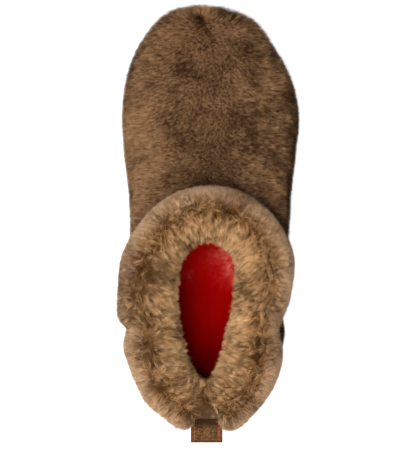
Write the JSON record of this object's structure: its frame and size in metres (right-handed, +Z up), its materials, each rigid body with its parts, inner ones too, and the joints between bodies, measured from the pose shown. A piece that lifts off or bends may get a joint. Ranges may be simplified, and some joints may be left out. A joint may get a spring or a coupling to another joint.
{
  "type": "sheepskin slipper boot",
  "caption": "Right ankle boot of sheepskin worn fur side out on a moulded rubber sole, with a deep wool cuff, a short-pile insole and a folded pull loop at the heel.",
  "frame": {"origin": "on the floor under the middle of the boot's bounding box", "axes": "+Z up, +Y from heel to toe, +X to the lateral (outer) side of this right boot"},
  "size_m": [0.116, 0.281, 0.1376],
  "materials": {
    "moulded_rubber": "matt dark brown moulded rubber",
    "red_sheepskin": "short dense red pile",
    "brown_sheepskin": "dense clipped brown pile, fur side out",
    "tan_wool": "deep curly golden brown wool",
    "brown_suede": "brown suede"
  },
  "bodies": {
    "root": {"outsole": "moulded_rubber", "insole": "red_sheepskin", "upper": "brown_sheepskin", "fur_cuff": "tan_wool", "pull_loop": "brown_suede"}
  },
  "joints": []
}
